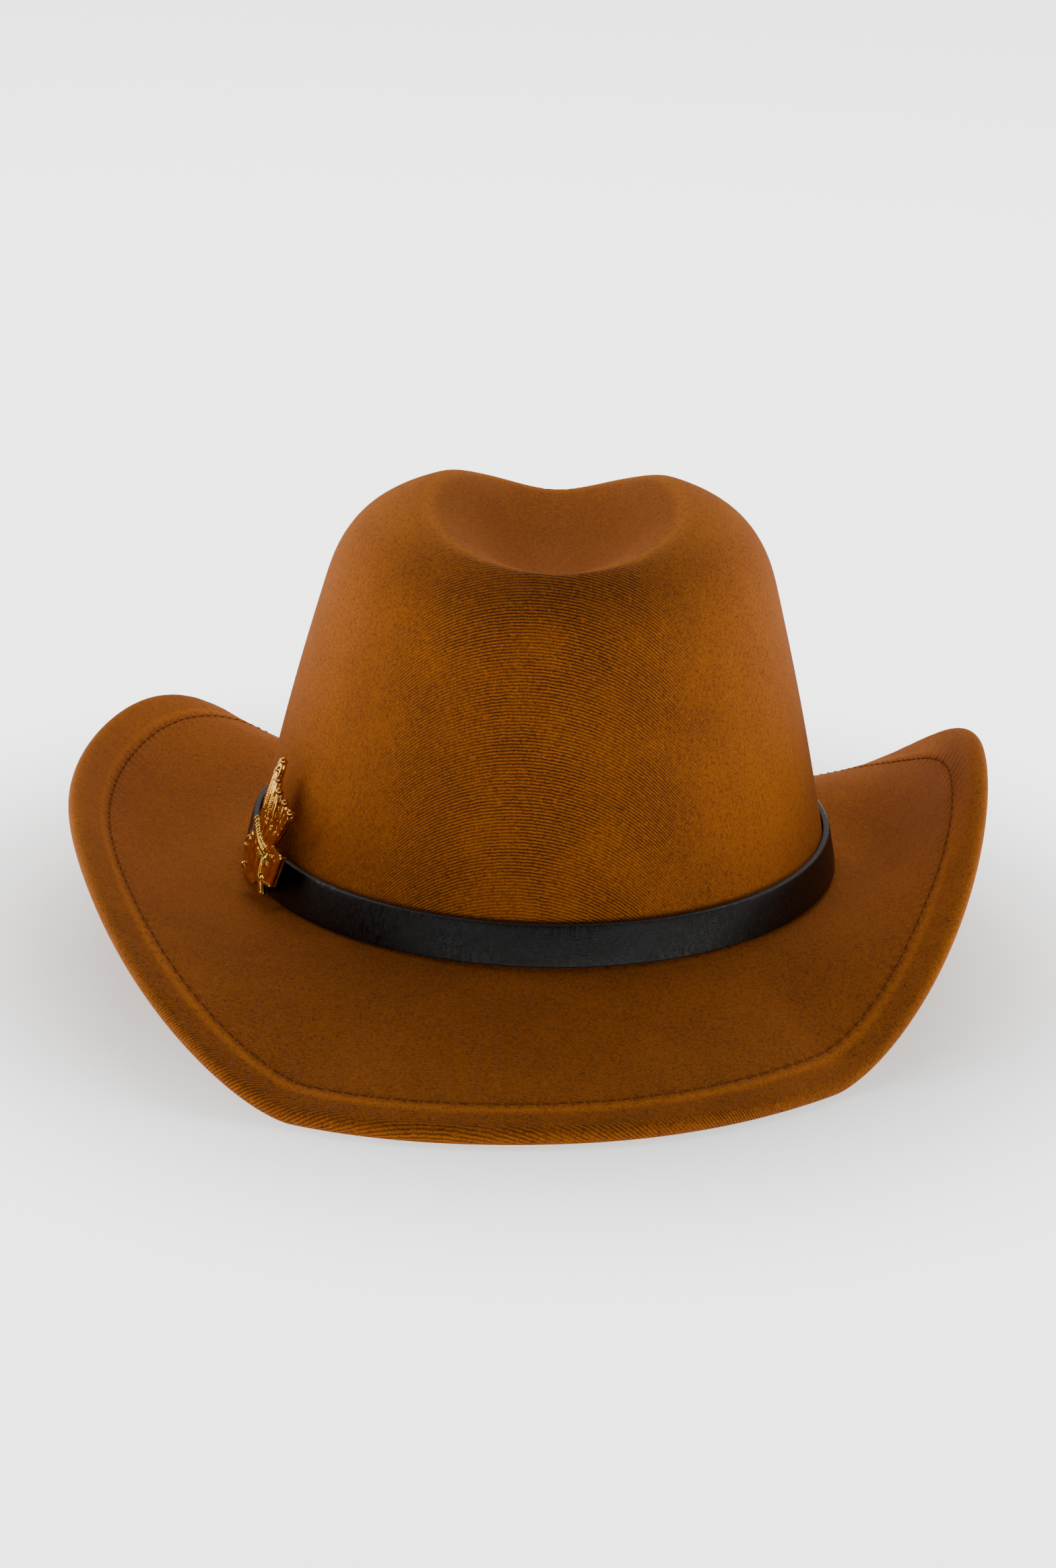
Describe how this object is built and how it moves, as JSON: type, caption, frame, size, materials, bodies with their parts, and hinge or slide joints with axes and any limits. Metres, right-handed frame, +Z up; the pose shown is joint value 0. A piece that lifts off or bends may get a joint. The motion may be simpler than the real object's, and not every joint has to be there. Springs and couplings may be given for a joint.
{
  "type": "western costume hat",
  "caption": "Wide-brimmed costume hat with a creased crown, curled wired brim, sweatband and a lift-off leather band that carries a cast badge.",
  "frame": {"origin": "middle of the brim's outline seen from above, on the surface that the hat rests on", "axes": "+X the wearer's right, +Y the hat's front, +Z up"},
  "size_m": [0.2732, 0.3506, 0.1413],
  "materials": {
    "suede_cloth": "brushed suede-like bonded knit, moulded stiff",
    "steel": "plated",
    "sweatband_leather": "smooth matt leather",
    "reed_plastic": "plain extruded",
    "label_satin": "blank woven satin",
    "band_leather": "fine-grained black leather",
    "gold_plate": "polished gold plate"
  },
  "bodies": {
    "hat": {"crown": "suede_cloth", "brim": "suede_cloth", "edge_wire": "steel", "wire_ferrule": "steel", "sweatband": "sweatband_leather", "sweatband_reed": "reed_plastic", "size_label": "label_satin"},
    "hatband": {"band_strap": "band_leather", "badge": "gold_plate", "badge_screw_front": "steel", "badge_screw_rear": "steel"}
  },
  "joints": [
    {"name": "hatband_lift", "type": "slide", "parent": "hat", "child": "hatband", "axis": [0, 0, 1], "range_m": [0, 0.13]}
  ]
}
